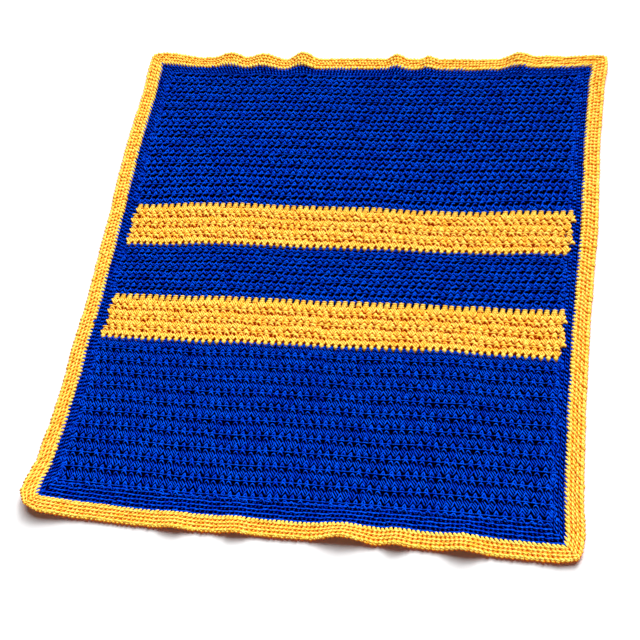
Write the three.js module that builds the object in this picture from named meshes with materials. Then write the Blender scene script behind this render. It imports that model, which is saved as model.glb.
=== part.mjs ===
import * as THREE from 'three';
import { mergeVertices } from 'three/addons/utils/BufferGeometryUtils.js';

// A crocheted blanket that lies flat on a surface, with a hem that ripples up off it here and there.
// Millimetres. +X runs across the blanket, +Y from the near hem to the far hem, +Z up.

// Size of the whole cloth as worked, before the hem ripples.
const WIDTH = 900;
const LENGTH = 995;

// Widths of the rounds worked round the panels.
const BORDER = 25;
const EDGING_NEAR = 36;
const EDGING_FAR = 21;
const EDGING_SIDE = 22;
const PANEL_HALF = WIDTH / 2 - BORDER - EDGING_SIDE;

// Thickness of the cloth: thick rows of stitches in the panels, finer rounds round them.
const ROW_CREST = 8;
const ROW_GROOVE = 6;
const ROUND_THICKNESS = 6;
const ROUND_SEAM = 5.5;
const BORDER_SHOULDER = 5.7;
const BORDER_RIM = 3.4;

// Clear space between neighbouring pieces.
const GAP = 0.3;

// The near left corner is drawn out to the side, so the cloth is placed this far to the right.
const CENTRE_SHIFT = 4;

const BLUE = new THREE.Color(0.02, 0.1, 0.62);
const GOLD = new THREE.Color(0.96, 0.6, 0.1);

// Panels from the near hem to the far hem. far is the distance of the far edge from the near hem,
// bands is the number of ridges of stitches, and growth is the height of the last band over the first.
const PANELS = [
  { name: 'lower_blue_panel', yarn: 'blue', bands: 11, far: 343, growth: 0.88 },
  { name: 'lower_gold_stripe', yarn: 'gold', bands: 4, far: 432, growth: 1 },
  { name: 'middle_blue_panel', yarn: 'blue', bands: 6, far: 544, growth: 0.85 },
  { name: 'upper_gold_stripe', yarn: 'gold', bands: 4, far: 635, growth: 1 },
  { name: 'upper_blue_panel', yarn: 'blue', bands: 14, far: LENGTH - BORDER - EDGING_FAR, growth: 0.82 },
];

// Ripples of the near and far hems. at is the place across the blanket, reach is half the ripple's width,
// lift is how far the hem rises, and push is how far the ripple moves it away from the panels.
const RIPPLES = [
  { hem: 'near', at: -191, reach: 36, lift: 8, push: 0 },
  { hem: 'near', at: -88, reach: 34, lift: 8, push: 0 },
  { hem: 'near', at: 86, reach: 58, lift: 14, push: -4 },
  { hem: 'near', at: 171, reach: 30, lift: 10, push: 0 },
  { hem: 'near', at: 276, reach: 44, lift: 13, push: 0 },
  { hem: 'far', at: -345, reach: 52, lift: 0, push: -4 },
  { hem: 'far', at: -279, reach: 42, lift: 12, push: 3 },
  { hem: 'far', at: -213, reach: 44, lift: 12, push: 4 },
  { hem: 'far', at: -132, reach: 36, lift: 15, push: 5 },
  { hem: 'far', at: 56, reach: 24, lift: 10, push: 3 },
  { hem: 'far', at: 118, reach: 22, lift: 8, push: 1 },
  { hem: 'far', at: 289, reach: 40, lift: 13, push: 4 },
  { hem: 'far', at: 340, reach: 40, lift: 2, push: 3 },
];

// A ripple's lift and its push die away over these distances from its hem.
const LIFT_FADE = 75;
const PUSH_FADE = 45;

// Corners, anticlockwise from the near left one. lift is how far the tip rises, reach is how far from the
// tip the cloth starts to rise, and pull is how far the tip is drawn in, which rounds it.
const CORNERS = [
  { side: -1, end: 0, lift: 16, reach: 110, pull: 10 },
  { side: 1, end: 0, lift: 4, reach: 70, pull: 3 },
  { side: 1, end: LENGTH, lift: 6, reach: 110, pull: 3 },
  { side: -1, end: LENGTH, lift: 8, reach: 110, pull: 3 },
];

// The rounding of a corner's tip reaches this far along both hems.
const CORNER_ROUND = 34;

// How far each side edge lies outside its straight line, at places up from the near hem.
const SIDE_BOW = [
  { up: 0, left: 12, right: 7 },
  { up: 45, left: 14, right: 8 },
  { up: 115, left: 6, right: 3 },
  { up: 190, left: 0, right: 1 },
  { up: 265, left: -2, right: -1 },
  { up: 320, left: -1, right: -1 },
  { up: 420, left: -4, right: -1 },
  { up: 510, left: -2, right: 1 },
  { up: 615, left: -1, right: 3 },
  { up: 700, left: 2, right: 1 },
  { up: 790, left: 3, right: -1 },
  { up: 915, left: -1, right: 1 },
  { up: 995, left: -1, right: 7 },
];

// How far the rows and hems stray from straight lines, at five even places across from left to right.
// A positive value lies further from the near hem.
const ROW_BOW = [
  { up: 0, across: [3, -3, -2, 0, -4] },
  { up: 343, across: [-2, 0, 2, 4, 1] },
  { up: 432, across: [-3, 0, 1, 2, 2] },
  { up: 544, across: [-5, 2, 1, 0, 4] },
  { up: 635, across: [-5, 3, 0, -3, 5] },
  { up: 900, across: [0, 0, -3, -3, 4] },
  { up: 995, across: [6, -5, -3, -5, 2] },
];

// Places at which the pieces are measured out across the blanket. A panel of at least this many bands
// has more of them, because the ripples of a hem reach it.
const HEM_STEPS = 48;
const PANEL_STEPS = 24;
const STRIPE_STEPS = 12;
const LONG_PANEL = 10;

// Cross-section of the border and the edging, from the outer edge inwards.
const BORDER_SECTION = [
  { depth: 0, height: BORDER_RIM },
  { depth: 0.12, height: BORDER_SHOULDER },
  { depth: 0.55, height: ROUND_THICKNESS },
  { depth: 1, height: ROUND_SEAM },
];
const EDGING_SECTION = [
  { depth: 0, height: ROUND_SEAM },
  { depth: 0.5, height: ROUND_THICKNESS },
  { depth: 1, height: ROUND_SEAM },
];

// A smooth hump: one at its middle, nothing beyond its reach.
function hump(distance, reach) {
  if (Math.abs(distance) >= reach) {
    return 0;
  }
  return 0.5 + 0.5 * Math.cos((Math.PI * distance) / reach);
}

// A smooth curve through the rows of a table: the key column says where, and valueOf gives the value there.
function smoothTable(rows, key, place, valueOf) {
  let upper = rows.findIndex((row) => row[key] >= place);
  if (upper < 0) {
    upper = rows.length - 1;
  }
  const lower = Math.max(upper - 1, 0);
  if (lower === upper) {
    return valueOf(rows[upper]);
  }
  const eased = THREE.MathUtils.smoothstep(place, rows[lower][key], rows[upper][key]);
  return THREE.MathUtils.lerp(valueOf(rows[lower]), valueOf(rows[upper]), eased);
}

// How far the rows stray at one of the even stations across the panels, from the columns of the row table.
function stationBow(station, up) {
  const lastColumn = ROW_BOW[0].across.length - 1;
  const columns = ROW_BOW[0].across.map((value, index) => ({ index, share: index / lastColumn }));
  const share = station / STRIPE_STEPS;
  return smoothTable(ROW_BOW, 'up', up, (row) => {
    return smoothTable(columns, 'share', share, (column) => row.across[column.index]);
  });
}

// How far the rows stray at any place. It runs straight between two stations, so that pieces with more
// or fewer columns follow one line where they meet.
function rowBow(across, up) {
  const place = (across / (2 * PANEL_HALF) + 0.5) * STRIPE_STEPS;
  const station = THREE.MathUtils.clamp(Math.floor(place), 0, STRIPE_STEPS - 1);
  const share = THREE.MathUtils.clamp(place - station, 0, 1);
  return THREE.MathUtils.lerp(stationBow(station, up), stationBow(station + 1, up), share);
}

// How far the side bow has grown from the middle of the blanket to its edge.
function sideBow(across, up) {
  const share = Math.abs(across) / (WIDTH / 2);
  const side = across < 0 ? 'left' : 'right';
  return Math.sign(across) * share ** 3 * smoothTable(SIDE_BOW, 'up', up, (row) => row[side]);
}

// Lays a point of the worked cloth on the surface: its x, its y and the height of its underside.
function lay(across, up) {
  let x = across + sideBow(across, up);
  let y = up + rowBow(across, up);
  let lift = 0;
  for (const ripple of RIPPLES) {
    const fromHem = ripple.hem === 'near' ? up : LENGTH - up;
    const strength = hump(across - ripple.at, ripple.reach);
    const outward = ripple.hem === 'near' ? -1 : 1;
    lift += ripple.lift * strength * hump(fromHem, LIFT_FADE);
    y += outward * ripple.push * strength * hump(fromHem, PUSH_FADE);
  }
  for (const corner of CORNERS) {
    const inX = Math.abs((corner.side * WIDTH) / 2 - across);
    const inY = Math.abs(corner.end - up);
    lift += corner.lift * hump(Math.hypot(inX, inY), corner.reach);
    const rounding = Math.max(0, 1 - inX / CORNER_ROUND) * Math.max(0, 1 - inY / CORNER_ROUND);
    x -= corner.side * corner.pull * rounding;
    y += (corner.end === 0 ? 1 : -1) * corner.pull * rounding;
  }
  return { x, y, lift };
}

// Edges of each band of a panel, as distances from the near hem, with bands that grow or shrink steadily.
function bandEdges(near, panel) {
  const heights = [];
  for (let band = 0; band < panel.bands; band += 1) {
    heights.push(THREE.MathUtils.lerp(1, panel.growth, band / (panel.bands - 1)));
  }
  const unit = (panel.far - near) / heights.reduce((sum, height) => sum + height, 0);
  const edges = [near];
  for (const height of heights) {
    edges.push(edges[edges.length - 1] + height * unit);
  }
  return edges;
}

// A closed sheet with a grid of points on its top and underside.
// place(column, row) gives the worked place of a grid point and the height of the top there.
function sheet(name, yarn, columns, rows, place) {
  const box = new THREE.BoxGeometry(columns, rows, 1, columns, rows, 1);
  box.deleteAttribute('normal');
  box.deleteAttribute('uv');
  const geometry = mergeVertices(box);
  const points = geometry.attributes.position;
  for (let index = 0; index < points.count; index += 1) {
    const column = Math.round(points.getX(index) + columns / 2);
    const row = Math.round(points.getY(index) + rows / 2);
    const onTop = points.getZ(index) > 0;
    const worked = place(column, row);
    const laid = lay(worked.across, worked.up);
    points.setXYZ(index, laid.x, laid.y, laid.lift + (onTop ? worked.height : 0));
  }
  geometry.computeVertexNormals();
  const material = new THREE.MeshStandardMaterial({
    color: yarn === 'gold' ? GOLD : BLUE,
    roughness: 0.85,
    metalness: 0,
  });
  const mesh = new THREE.Mesh(geometry, material);
  mesh.name = name;
  return mesh;
}

// A panel of ridged bands: a crest along the middle of each band and a groove between bands.
function panel(spec, near, steps) {
  const edges = bandEdges(near, spec);
  const half = PANEL_HALF - GAP / 2;
  const rows = 2 * spec.bands;
  return sheet(spec.name, spec.yarn, steps, rows, (column, row) => {
    const band = Math.min(Math.floor(row / 2), spec.bands - 1);
    const share = (row - 2 * band) / 2;
    let up = THREE.MathUtils.lerp(edges[band], edges[band + 1], share);
    if (row === 0) {
      up += GAP / 2;
    }
    if (row === rows) {
      up -= GAP / 2;
    }
    return {
      across: THREE.MathUtils.lerp(-half, half, column / steps),
      up,
      height: row % 2 === 1 ? ROW_CREST : ROW_GROOVE,
    };
  });
}

// The corners of a rectangle inside the worked cloth by these insets, anticlockwise from near left.
function rectangle(near, side, far) {
  const half = WIDTH / 2 - side;
  return [
    new THREE.Vector2(-half, near),
    new THREE.Vector2(half, near),
    new THREE.Vector2(half, LENGTH - far),
    new THREE.Vector2(-half, LENGTH - far),
  ];
}

// One mitred side of the rounds between an outer and an inner rectangle.
// stations are the shares of the side's length at which it is measured out.
function mitredSide(name, yarn, side, outer, inner, section, stations) {
  const next = (side + 1) % outer.length;
  const along = new THREE.Vector2().subVectors(outer[next], outer[side]).normalize();
  const last = stations.length - 1;
  return sheet(name, yarn, last, section.length - 1, (column, row) => {
    const { depth, height } = section[row];
    const from = outer[side].clone().lerp(inner[side], depth);
    const to = outer[next].clone().lerp(inner[next], depth);
    const point = from.clone().lerp(to, stations[column]);
    if (column === 0) {
      point.addScaledVector(along, GAP / Math.SQRT2);
    }
    if (column === last) {
      point.addScaledVector(along, -GAP / Math.SQRT2);
    }
    return { across: point.x, up: point.y, height };
  });
}

// All four sides of a set of rounds.
function rounds(prefix, yarn, outer, inner, section, stationsOf) {
  return ['near', 'right', 'far', 'left'].map((place, side) => {
    return mitredSide(`${prefix}_${place}`, yarn, side, outer, inner, section, stationsOf[side]);
  });
}

const blanket = new THREE.Group();
blanket.name = 'blanket';

// Panels, one after another from the near edging to the far edging.
const fieldNear = BORDER + EDGING_NEAR;
const fieldFar = LENGTH - BORDER - EDGING_FAR;
const bandPlaces = [fieldNear];
let panelNear = fieldNear;
for (const spec of PANELS) {
  const steps = spec.bands >= LONG_PANEL ? PANEL_STEPS : STRIPE_STEPS;
  blanket.add(panel(spec, panelNear, steps));
  bandPlaces.push(...bandEdges(panelNear, spec).slice(1));
  panelNear = spec.far;
}

// Stations along the hems are even, and those along the sides follow the edges of the bands.
const hemStations = Array.from({ length: HEM_STEPS + 1 }, (unused, step) => step / HEM_STEPS);
const rising = bandPlaces.map((place) => (place - fieldNear) / (fieldFar - fieldNear));
const falling = rising.map((share) => 1 - share).reverse();
const stationsOf = [hemStations, rising, hemStations, falling];

// The blue edging and the gold border, each clear of its neighbours by the gap.
const edgingOuter = rectangle(BORDER + GAP / 2, BORDER + GAP / 2, BORDER + GAP / 2);
const edgingInner = rectangle(
  fieldNear - GAP / 2,
  BORDER + EDGING_SIDE - GAP / 2,
  BORDER + EDGING_FAR - GAP / 2,
);
const borderOuter = rectangle(0, 0, 0);
const borderInner = rectangle(BORDER - GAP / 2, BORDER - GAP / 2, BORDER - GAP / 2);
blanket.add(...rounds('blue_edging', 'blue', edgingOuter, edgingInner, EDGING_SECTION, stationsOf));
blanket.add(...rounds('gold_border', 'gold', borderOuter, borderInner, BORDER_SECTION, stationsOf));

blanket.position.set(CENTRE_SHIFT, -LENGTH / 2, 0);

export default blanket;
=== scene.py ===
"""A crocheted blanket with two gold stripes, a blue edging and a gold border, lying flat on a pale floor.

The cloth is worked flat in millimetres: across from left to right and up from the near hem. Rows of yarn
stitches are repeated on that flat cloth, laid with its bows, ripples and corners, and put out in metres.
"""

import math

import bmesh
import bpy
import numpy as np
from mathutils import Matrix


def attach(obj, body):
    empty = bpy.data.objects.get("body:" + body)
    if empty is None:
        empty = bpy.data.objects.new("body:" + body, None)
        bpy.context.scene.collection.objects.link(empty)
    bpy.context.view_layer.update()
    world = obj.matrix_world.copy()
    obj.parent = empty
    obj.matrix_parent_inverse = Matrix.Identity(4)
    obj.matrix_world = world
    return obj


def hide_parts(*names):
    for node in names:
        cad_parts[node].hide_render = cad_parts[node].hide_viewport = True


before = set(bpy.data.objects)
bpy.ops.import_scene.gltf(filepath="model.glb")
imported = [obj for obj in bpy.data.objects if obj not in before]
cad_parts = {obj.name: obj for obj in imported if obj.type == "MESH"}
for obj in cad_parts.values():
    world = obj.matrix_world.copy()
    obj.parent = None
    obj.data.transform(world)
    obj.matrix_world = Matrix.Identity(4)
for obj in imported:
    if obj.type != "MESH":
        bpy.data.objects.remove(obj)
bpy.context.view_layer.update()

METRES = 0.001

# Size of the cloth as worked, and the widths of the rounds worked round the panels.
WIDTH = 900.0
LENGTH = 995.0
BORDER = 25.0
EDGING_NEAR = 36.0
EDGING_FAR = 21.0
EDGING_SIDE = 22.0
PANEL_HALF = WIDTH / 2 - BORDER - EDGING_SIDE
FIELD_NEAR = BORDER + EDGING_NEAR

# The near left corner is drawn out to the side, so the cloth is placed this far to the right.
CENTRE_SHIFT = 4.0

# Panels from the near hem to the far hem: name, yarn, set of stitches, far edge, number of ridges, height
# of the last ridge over the first, stitches in a row, and how far the stitch tips lie above the start of a
# ridge.
PANEL_FIELDS = ("name", "yarn", "stitches", "far", "ridges", "growth", "across", "tip")
PANELS = [dict(zip(PANEL_FIELDS, row)) for row in (
    ("lower_blue_panel", "blue", "blue", 343, 11, 0.88, 62, 7.0),
    ("lower_gold_stripe", "gold", "gold", 432, 4, 1.0, 65, 2.5),
    ("middle_blue_panel", "blue", "far_blue", 544, 6, 0.85, 65, 5.0),
    ("upper_gold_stripe", "gold", "gold", 635, 4, 1.0, 65, 2.5),
    ("upper_blue_panel", "blue", "far_blue", 949, 14, 0.82, 65, 2.0),
)]

# Ripples of the two hems: place across, half width, rise of the hem, and how far the hem is moved outwards.
RIPPLES = (
    {"hem": "near", "at": -191, "reach": 36, "lift": 8, "push": 0},
    {"hem": "near", "at": -88, "reach": 34, "lift": 8, "push": 0},
    {"hem": "near", "at": 86, "reach": 58, "lift": 14, "push": -4},
    {"hem": "near", "at": 171, "reach": 30, "lift": 10, "push": 0},
    {"hem": "near", "at": 276, "reach": 44, "lift": 13, "push": 0},
    {"hem": "far", "at": -345, "reach": 52, "lift": 0, "push": -4},
    {"hem": "far", "at": -279, "reach": 42, "lift": 12, "push": 3},
    {"hem": "far", "at": -213, "reach": 44, "lift": 12, "push": 4},
    {"hem": "far", "at": -132, "reach": 36, "lift": 15, "push": 5},
    {"hem": "far", "at": 56, "reach": 24, "lift": 10, "push": 3},
    {"hem": "far", "at": 118, "reach": 22, "lift": 8, "push": 1},
    {"hem": "far", "at": 289, "reach": 40, "lift": 13, "push": 4},
    {"hem": "far", "at": 340, "reach": 40, "lift": 2, "push": 3},
)
LIFT_FADE = 75.0
PUSH_FADE = 45.0

# Corners: side, end, rise of the tip, how far from the tip it starts, and how far the tip is drawn in.
CORNERS = (
    {"side": -1, "end": 0, "lift": 16, "reach": 110, "pull": 10},
    {"side": 1, "end": 0, "lift": 4, "reach": 70, "pull": 3},
    {"side": 1, "end": LENGTH, "lift": 6, "reach": 110, "pull": 3},
    {"side": -1, "end": LENGTH, "lift": 8, "reach": 110, "pull": 3},
)
CORNER_ROUND = 34.0

# The stitches turn the corners a little more softly: how far they draw in at each, and over what length.
SOFT_CORNERS = ((-1, 0, 1.5), (1, 0, 3.5), (1, LENGTH, 2.0), (-1, LENGTH, 2.5))
SOFT_REACH = 16.0

# How far each side edge lies outside its straight line, at places up from the near hem.
SIDE_BOW = (
    {"up": 0, "left": 12, "right": 7},
    {"up": 45, "left": 14, "right": 8},
    {"up": 115, "left": 6, "right": 3},
    {"up": 190, "left": 0, "right": 1},
    {"up": 265, "left": -2, "right": -1},
    {"up": 320, "left": -1, "right": -1},
    {"up": 420, "left": -4, "right": -1},
    {"up": 510, "left": -2, "right": 1},
    {"up": 615, "left": -1, "right": 3},
    {"up": 700, "left": 2, "right": 1},
    {"up": 790, "left": 3, "right": -1},
    {"up": 915, "left": -1, "right": 1},
    {"up": 995, "left": -1, "right": 7},
)

# How far the rows and hems stray from straight lines, at five even places across from left to right.
ROW_BOW = (
    {"up": 0, "across": (3, -3, -2, 0, -4)},
    {"up": 343, "across": (-2, 0, 2, 4, 1)},
    {"up": 432, "across": (-3, 0, 1, 2, 2)},
    {"up": 544, "across": (-5, 2, 1, 0, 4)},
    {"up": 635, "across": (-5, 3, 0, -3, 5)},
    {"up": 900, "across": (0, 0, -3, -3, 4)},
    {"up": 995, "across": (6, -5, -3, -5, 2)},
)
ROW_STATIONS = 12

# The stitch that the strands below are drawn for: its width and the height of one ridge.
PITCH = 12.4
RIDGE = 23.0

# Finer stitches of the edging and the border: their width and the height of one round.
ROUND_PITCH = 7.0
ROUND_HEIGHT = 6.6

# Rounds on each side, from the near hem anticlockwise.
SIDES = ("near", "right", "far", "left")
WORKED_PITCH = {"near": 7.25, "right": 7.5, "far": 6.4, "left": 7.6}
EDGING_ROUNDS = {"near": 5, "right": 4, "far": 3, "left": 4}

# How far every other round is moved sideways, in stitches, and how far each stitch strays, in millimetres.
ROUND_LOOSE = (0.35, 0.4)
EDGING_LOOSE = (0.5, 0.8)
ROUND_TURN = 0.10
ROUND_SIZE_CHANGE = 0.08

# How far a loose stitch of the panels strays and turns, and how much its size changes.
ROW_DRIFT = 0.55
ROW_TURN = 0.10
ROW_SIZE_CHANGE = 0.09
ROW_STAGGER = 0.5

# Seeds of the random changes: how many a panel, a row and a side have, and the first one of the rounds.
PANEL_SEEDS = 10
ROW_SEEDS = 7
SIDE_SEEDS = 10
ROUND_SEED = 100

# Slow waves in the rows, as worked by hand: how far, over what length across and up, and where they start.
WAVER_ACROSS = ((0.9, math.inf, 31, 1.3), (0.7, 160, 13, 0))
WAVER_UP = ((0.8, 47, 90, 0), (0.5, 19, 37, 0))

# The side edging is worked into the ends of the rows, so its stitches reach this far over them.
EDGING_OVER_ENDS = 6.0
BORDER_ROUNDS = 4

# Height of the ground cloth that the strands are sunk in: at the crest and in the groove of a ridge, in the
# rounds, along the outer rim of the border, and where the next rounds hide it.
GROUND_CREST = 4.6
GROUND_GROOVE = 1.6
GROUND_ROUNDS = 2.2
GROUND_RIM = 1.6
GROUND_HIDDEN = 0.8
CREST_PLACE = 0.27

# How far the ground stays inside the outer edge of the rounds, as a share of their width.
GROUND_TUCK = 0.11
EDGING_TUCK = 0.02

# Places across the rounds where their ground has a line of corners, past the tucked one.
ROUND_LINES = (0.25, 0.5, 0.75, 0.99, 1.24)
ROUND_STEPS = 120
MITRE_GAP = 0.0004

# The steps of a panel's ground, and the gap between two panels from its edge on.
GROUND_STEP = 3.8
GROUND_COLUMNS = 72
GROUND_GAP = 0.15

# The gold ground stays this far inside the ends of a stripe and its far and near edges, where blue shows.
GOLD_INSET = 7.0
GOLD_FAR_INSET = 9.0
GOLD_NEAR_INSET = 5.0

# The gold rows reach this far over the edging at their right end.
STRIPE_OVERHANG = 5.0

# The rows of a stripe move sideways in turn by this share of a stitch, and their ends lie over the edging.
STRIPE_STAGGER = 0.3
STRIPE_END_RISE = 1.8

# How thick each set of stitches is worked, beside the strands as drawn.
PLUMP = {"blue": 0.89, "far_blue": 0.99, "gold": 1.4}
STRAND_SIDES = 4
ROUND_STRAND_SIDES = 6

# The sides of a strand are painted in shade: they keep this share of the painted light on its top.
SIDE_PAINTED_LIGHT = 0.3

# The colours of each yarn: painted shade deep in the cloth and on the sides of its strands, pale on the
# crests, and a painted highlight on the lightest crests, with the depths between which they change, its
# gloss, and the colour of a painted glow that lifts the yarn where it lies in shade.
YARN_LOOKS = {
    "blue": {
        "painted_shade": (0.0, 0.0, 0.012), "pale": (0.0, 0.010, 0.50), "light": (0.0, 0.12, 1.0),
        "low": 0.16, "high": 0.76, "gloss": 0.01, "painted_glow": (0.0, 0.0, 0.0),
    },
    "gold": {
        "painted_shade": (0.90, 0.08, 0.0), "pale": (1.0, 0.50, 0.008), "light": (1.0, 0.90, 0.19),
        "low": 0.12, "high": 0.76, "gloss": 0.15, "painted_glow": (1.0, 0.26, 0.0),
    },
}
# Strength of the painted glow of the yarn, which lifts it where it lies in shade.
PAINTED_GLOW_STRENGTH = 0.13
YARN_ROUGHNESS = 0.72

# The twist of the yarn: its plies, the millimetres of a turn, and how far the plies stand out in metres.
PLIES = 2.0
PLY_TURN = 3.4
PLY_RELIEF = 0.35
PLY_DEPTH = 0.0008

# How uneven the yarn is: the size of its patches, the share of each stitch's own tone, and the tones between
# which a crest turns to its painted highlight, and how closely the highlight keeps to the top of the crest.
PATCHES_PER_METRE = 240.0
PATCH_DETAIL = 3.0
PATCH_ROUGHNESS = 0.6
STITCH_TONE = 0.2
HIGHLIGHT_FROM = 0.22
HIGHLIGHT_TO = 0.68
HIGHLIGHT_POWER = 3.0

# The colours of the ground cloth, painted dark as the shade in the gaps between the strands, lighter and
# darker, and its fibres.
PAINTED_SHADE_GROUND_LOOKS = {
    "blue_ground": ((0.0, 0.0, 0.020), (0.0, 0.0, 0.004)),
    "gold_ground": ((0.80, 0.13, 0.0), (0.42, 0.03, 0.0)),
    "gold_round_ground": ((0.97, 0.42, 0.0), (0.74, 0.16, 0.0)),
    "blue_round_ground": ((0.0, 0.001, 0.080), (0.0, 0.0, 0.026)),
}
FIBRES_PER_METRE = 420.0
FIBRE_DETAIL = 2.0
FIBRE_RELIEF = 0.6
FIBRE_DEPTH = 0.001
GROUND_ROUGHNESS = 0.9

# The pale floor, and the light: strength, spread, tilt and turn of each lamp.
FLOOR_HALF = 12.0
FLOOR_DROP = 0.0003
FLOOR_COLOUR = (0.93, 0.93, 0.935)
FLOOR_ROUGHNESS = 0.8
FLOOR_GLOSS = 0.1
SKY_STRENGTH = 0.06
LAMPS = (
    ("dome_lamp", 3.75, 60, -42, -10),
    ("key_lamp", 1.7, 24, -50, -18),
)

# The camera: its place, its three directions, and its lens.
CAMERA_PLACE = (0.47766, -1.17175, 1.88106)
CAMERA_RIGHT = (0.97482, 0.14910, -0.16580)
CAMERA_DOWN = (0.04605, -0.86215, -0.50456)
CAMERA_FORWARD = (-0.21818, 0.48422, -0.84731)
CAMERA_LENS = 71.84
CAMERA_SENSOR = 36.0


# Laying the cloth


def eased_rows(places, place):
    """The rows of a table on both sides of each place, and the eased share of the way between them."""
    place = np.clip(place, places[0], places[-1])
    upper = np.clip(np.searchsorted(places, place), 1, len(places) - 1)
    lower = upper - 1
    share = (place - places[lower]) / (places[upper] - places[lower])
    return lower, upper, share * share * (3 - 2 * share)


def hump(distance, reach):
    """One at the middle, falling smoothly to nothing at the reach."""
    inside = np.abs(distance) < reach
    return np.where(inside, 0.5 + 0.5 * np.cos(np.pi * distance / reach), 0.0)


def row_stations():
    """The row table at every even station across the panels."""
    columns = np.linspace(0, 1, len(ROW_BOW[0]["across"]))
    lower, upper, eased = eased_rows(columns, np.linspace(0, 1, ROW_STATIONS + 1))
    rows = np.array([row["across"] for row in ROW_BOW], float)
    return rows[:, lower] * (1 - eased) + rows[:, upper] * eased


def row_bow(across, up):
    """How far the rows stray, straight between two stations."""
    table = row_stations()
    lower, upper, eased = eased_rows(np.array([row["up"] for row in ROW_BOW], float), up)
    place = np.clip((across / (2 * PANEL_HALF) + 0.5) * ROW_STATIONS, 0, ROW_STATIONS)
    station = np.minimum(np.floor(place).astype(int), ROW_STATIONS - 1)
    share = place - station
    left = table[lower, station] * (1 - eased) + table[upper, station] * eased
    right = table[lower, station + 1] * (1 - eased) + table[upper, station + 1] * eased
    return left * (1 - share) + right * share


def side_bow(across, up):
    """How far the bow of the side edges has grown from the middle of the blanket."""
    lower, upper, eased = eased_rows(np.array([row["up"] for row in SIDE_BOW], float), up)
    left = np.array([row["left"] for row in SIDE_BOW], float)
    right = np.array([row["right"] for row in SIDE_BOW], float)
    bow = np.where(
        across < 0,
        left[lower] * (1 - eased) + left[upper] * eased,
        right[lower] * (1 - eased) + right[upper] * eased,
    )
    return np.sign(across) * np.abs(across / (WIDTH / 2)) ** 3 * bow


def lay(across, up):
    """Lays points of the worked cloth on the floor: x, y and the height of the underside."""
    x = across + side_bow(across, up)
    y = up + row_bow(across, up)
    lift = np.zeros_like(across)
    for ripple in RIPPLES:
        near = ripple["hem"] == "near"
        from_hem = up if near else LENGTH - up
        strength = hump(across - ripple["at"], ripple["reach"])
        lift += ripple["lift"] * strength * hump(from_hem, LIFT_FADE)
        y += (-1 if near else 1) * ripple["push"] * strength * hump(from_hem, PUSH_FADE)
    for corner in CORNERS:
        in_x = np.abs(corner["side"] * WIDTH / 2 - across)
        in_y = np.abs(corner["end"] - up)
        lift += corner["lift"] * hump(np.hypot(in_x, in_y), corner["reach"])
        rounding = np.maximum(0, 1 - in_x / CORNER_ROUND) * np.maximum(0, 1 - in_y / CORNER_ROUND)
        x -= corner["side"] * corner["pull"] * rounding
        y += (1 if corner["end"] == 0 else -1) * corner["pull"] * rounding
    return x + CENTRE_SHIFT, y - LENGTH / 2, lift


def waver(waves, across, up):
    """The sum of some slow waves at a place on the cloth."""
    return sum(
        size * np.sin(across / wide + up / long + start) for size, wide, long, start in waves
    )


# Yarn strands


def strand(points, sides, scale, plump):
    """One tapering strand: its corners, its faces, their yarn coordinates, and how far each corner faces up.

    Points are given in stitches across, ridges up, millimetres high, and millimetres from the strand's middle
    to its side. scale is the size of one stitch, and plump how thick the yarn is worked.
    """
    points = np.array(points, float)
    centre = points[:, :3] * np.array([scale[0], scale[1], 1.0])
    radii = plump * points[:, 3]
    tangent = np.gradient(centre, axis=0)
    tangent /= np.linalg.norm(tangent, axis=1)[:, None]
    side = np.cross(tangent, (0, 0, 1))
    side /= np.linalg.norm(side, axis=1)[:, None]
    crown = np.cross(side, tangent)
    along = np.concatenate([[0], np.cumsum(np.linalg.norm(np.diff(centre, axis=0), axis=1))])
    angles = 2 * np.pi * np.arange(sides) / sides + np.pi / 2
    rings = len(centre)
    corners, upward = [], []
    for ring in range(rings):
        for angle in angles:
            offset = side[ring] * math.cos(angle) + crown[ring] * math.sin(angle)
            corners.append(centre[ring] + radii[ring] * offset)
            upward.append(max(0.0, math.sin(angle)))
    faces, spread = [], []
    for ring in range(rings - 1):
        for step in range(sides):
            after = (step + 1) % sides
            low, high = ring * sides, (ring + 1) * sides
            faces.append((low + step, high + step, high + after, low + after))
            start, end = step / sides, (step + 1) / sides
            spread.append((
                (start, along[ring]), (start, along[ring + 1]), (end, along[ring + 1]), (end, along[ring]),
            ))
    for ring, order in ((0, 1), (rings - 1, -1)):
        steps = range(sides)[::order]
        faces.append(tuple(ring * sides + step for step in steps))
        spread.append(tuple((step / sides, along[ring]) for step in steps))
    return corners, faces, spread, upward


def stitch(name, strands, scale, crest, sides, plump):
    """A small mesh of the strands of one stitch, with its yarn coordinates and its painted light and shade.
    """
    corners, faces, spread, upward = [], [], [], []
    for points in strands:
        made = strand(points, sides, scale, plump)
        start = len(corners)
        corners += made[0]
        faces += [tuple(start + corner for corner in face) for face in made[1]]
        spread += made[2]
        upward += made[3]
    mesh = bpy.data.meshes.new(name)
    mesh.from_pydata(corners, [], faces)
    layer = mesh.uv_layers.new(name="UVMap")
    flat = [value for face in spread for value in face]
    layer.data.foreach_set("uv", np.array(flat, np.float32).ravel())
    heights = np.array(corners)[:, 2]
    # Painted light of each corner: less the lower it lies in the cloth and the more it faces sideways.
    rise = mesh.attributes.new("rise", "FLOAT", "POINT")
    depth = np.clip(heights / crest, 0, 1) ** 2
    facing = SIDE_PAINTED_LIGHT + (1 - SIDE_PAINTED_LIGHT) * np.array(upward)
    rise.data.foreach_set("value", (depth * facing).astype(np.float32))
    mesh.shade_smooth()
    inside_out = bmesh.new()
    inside_out.from_mesh(mesh)
    bmesh.ops.recalc_face_normals(inside_out, faces=inside_out.faces)
    inside_out.to_mesh(mesh)
    inside_out.free()
    piece = bpy.data.objects.new(name, mesh)
    bpy.context.scene.collection.objects.link(piece)
    return piece


# Each strand of a stitch runs through points across, up and high, with its thickness at each.

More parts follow.
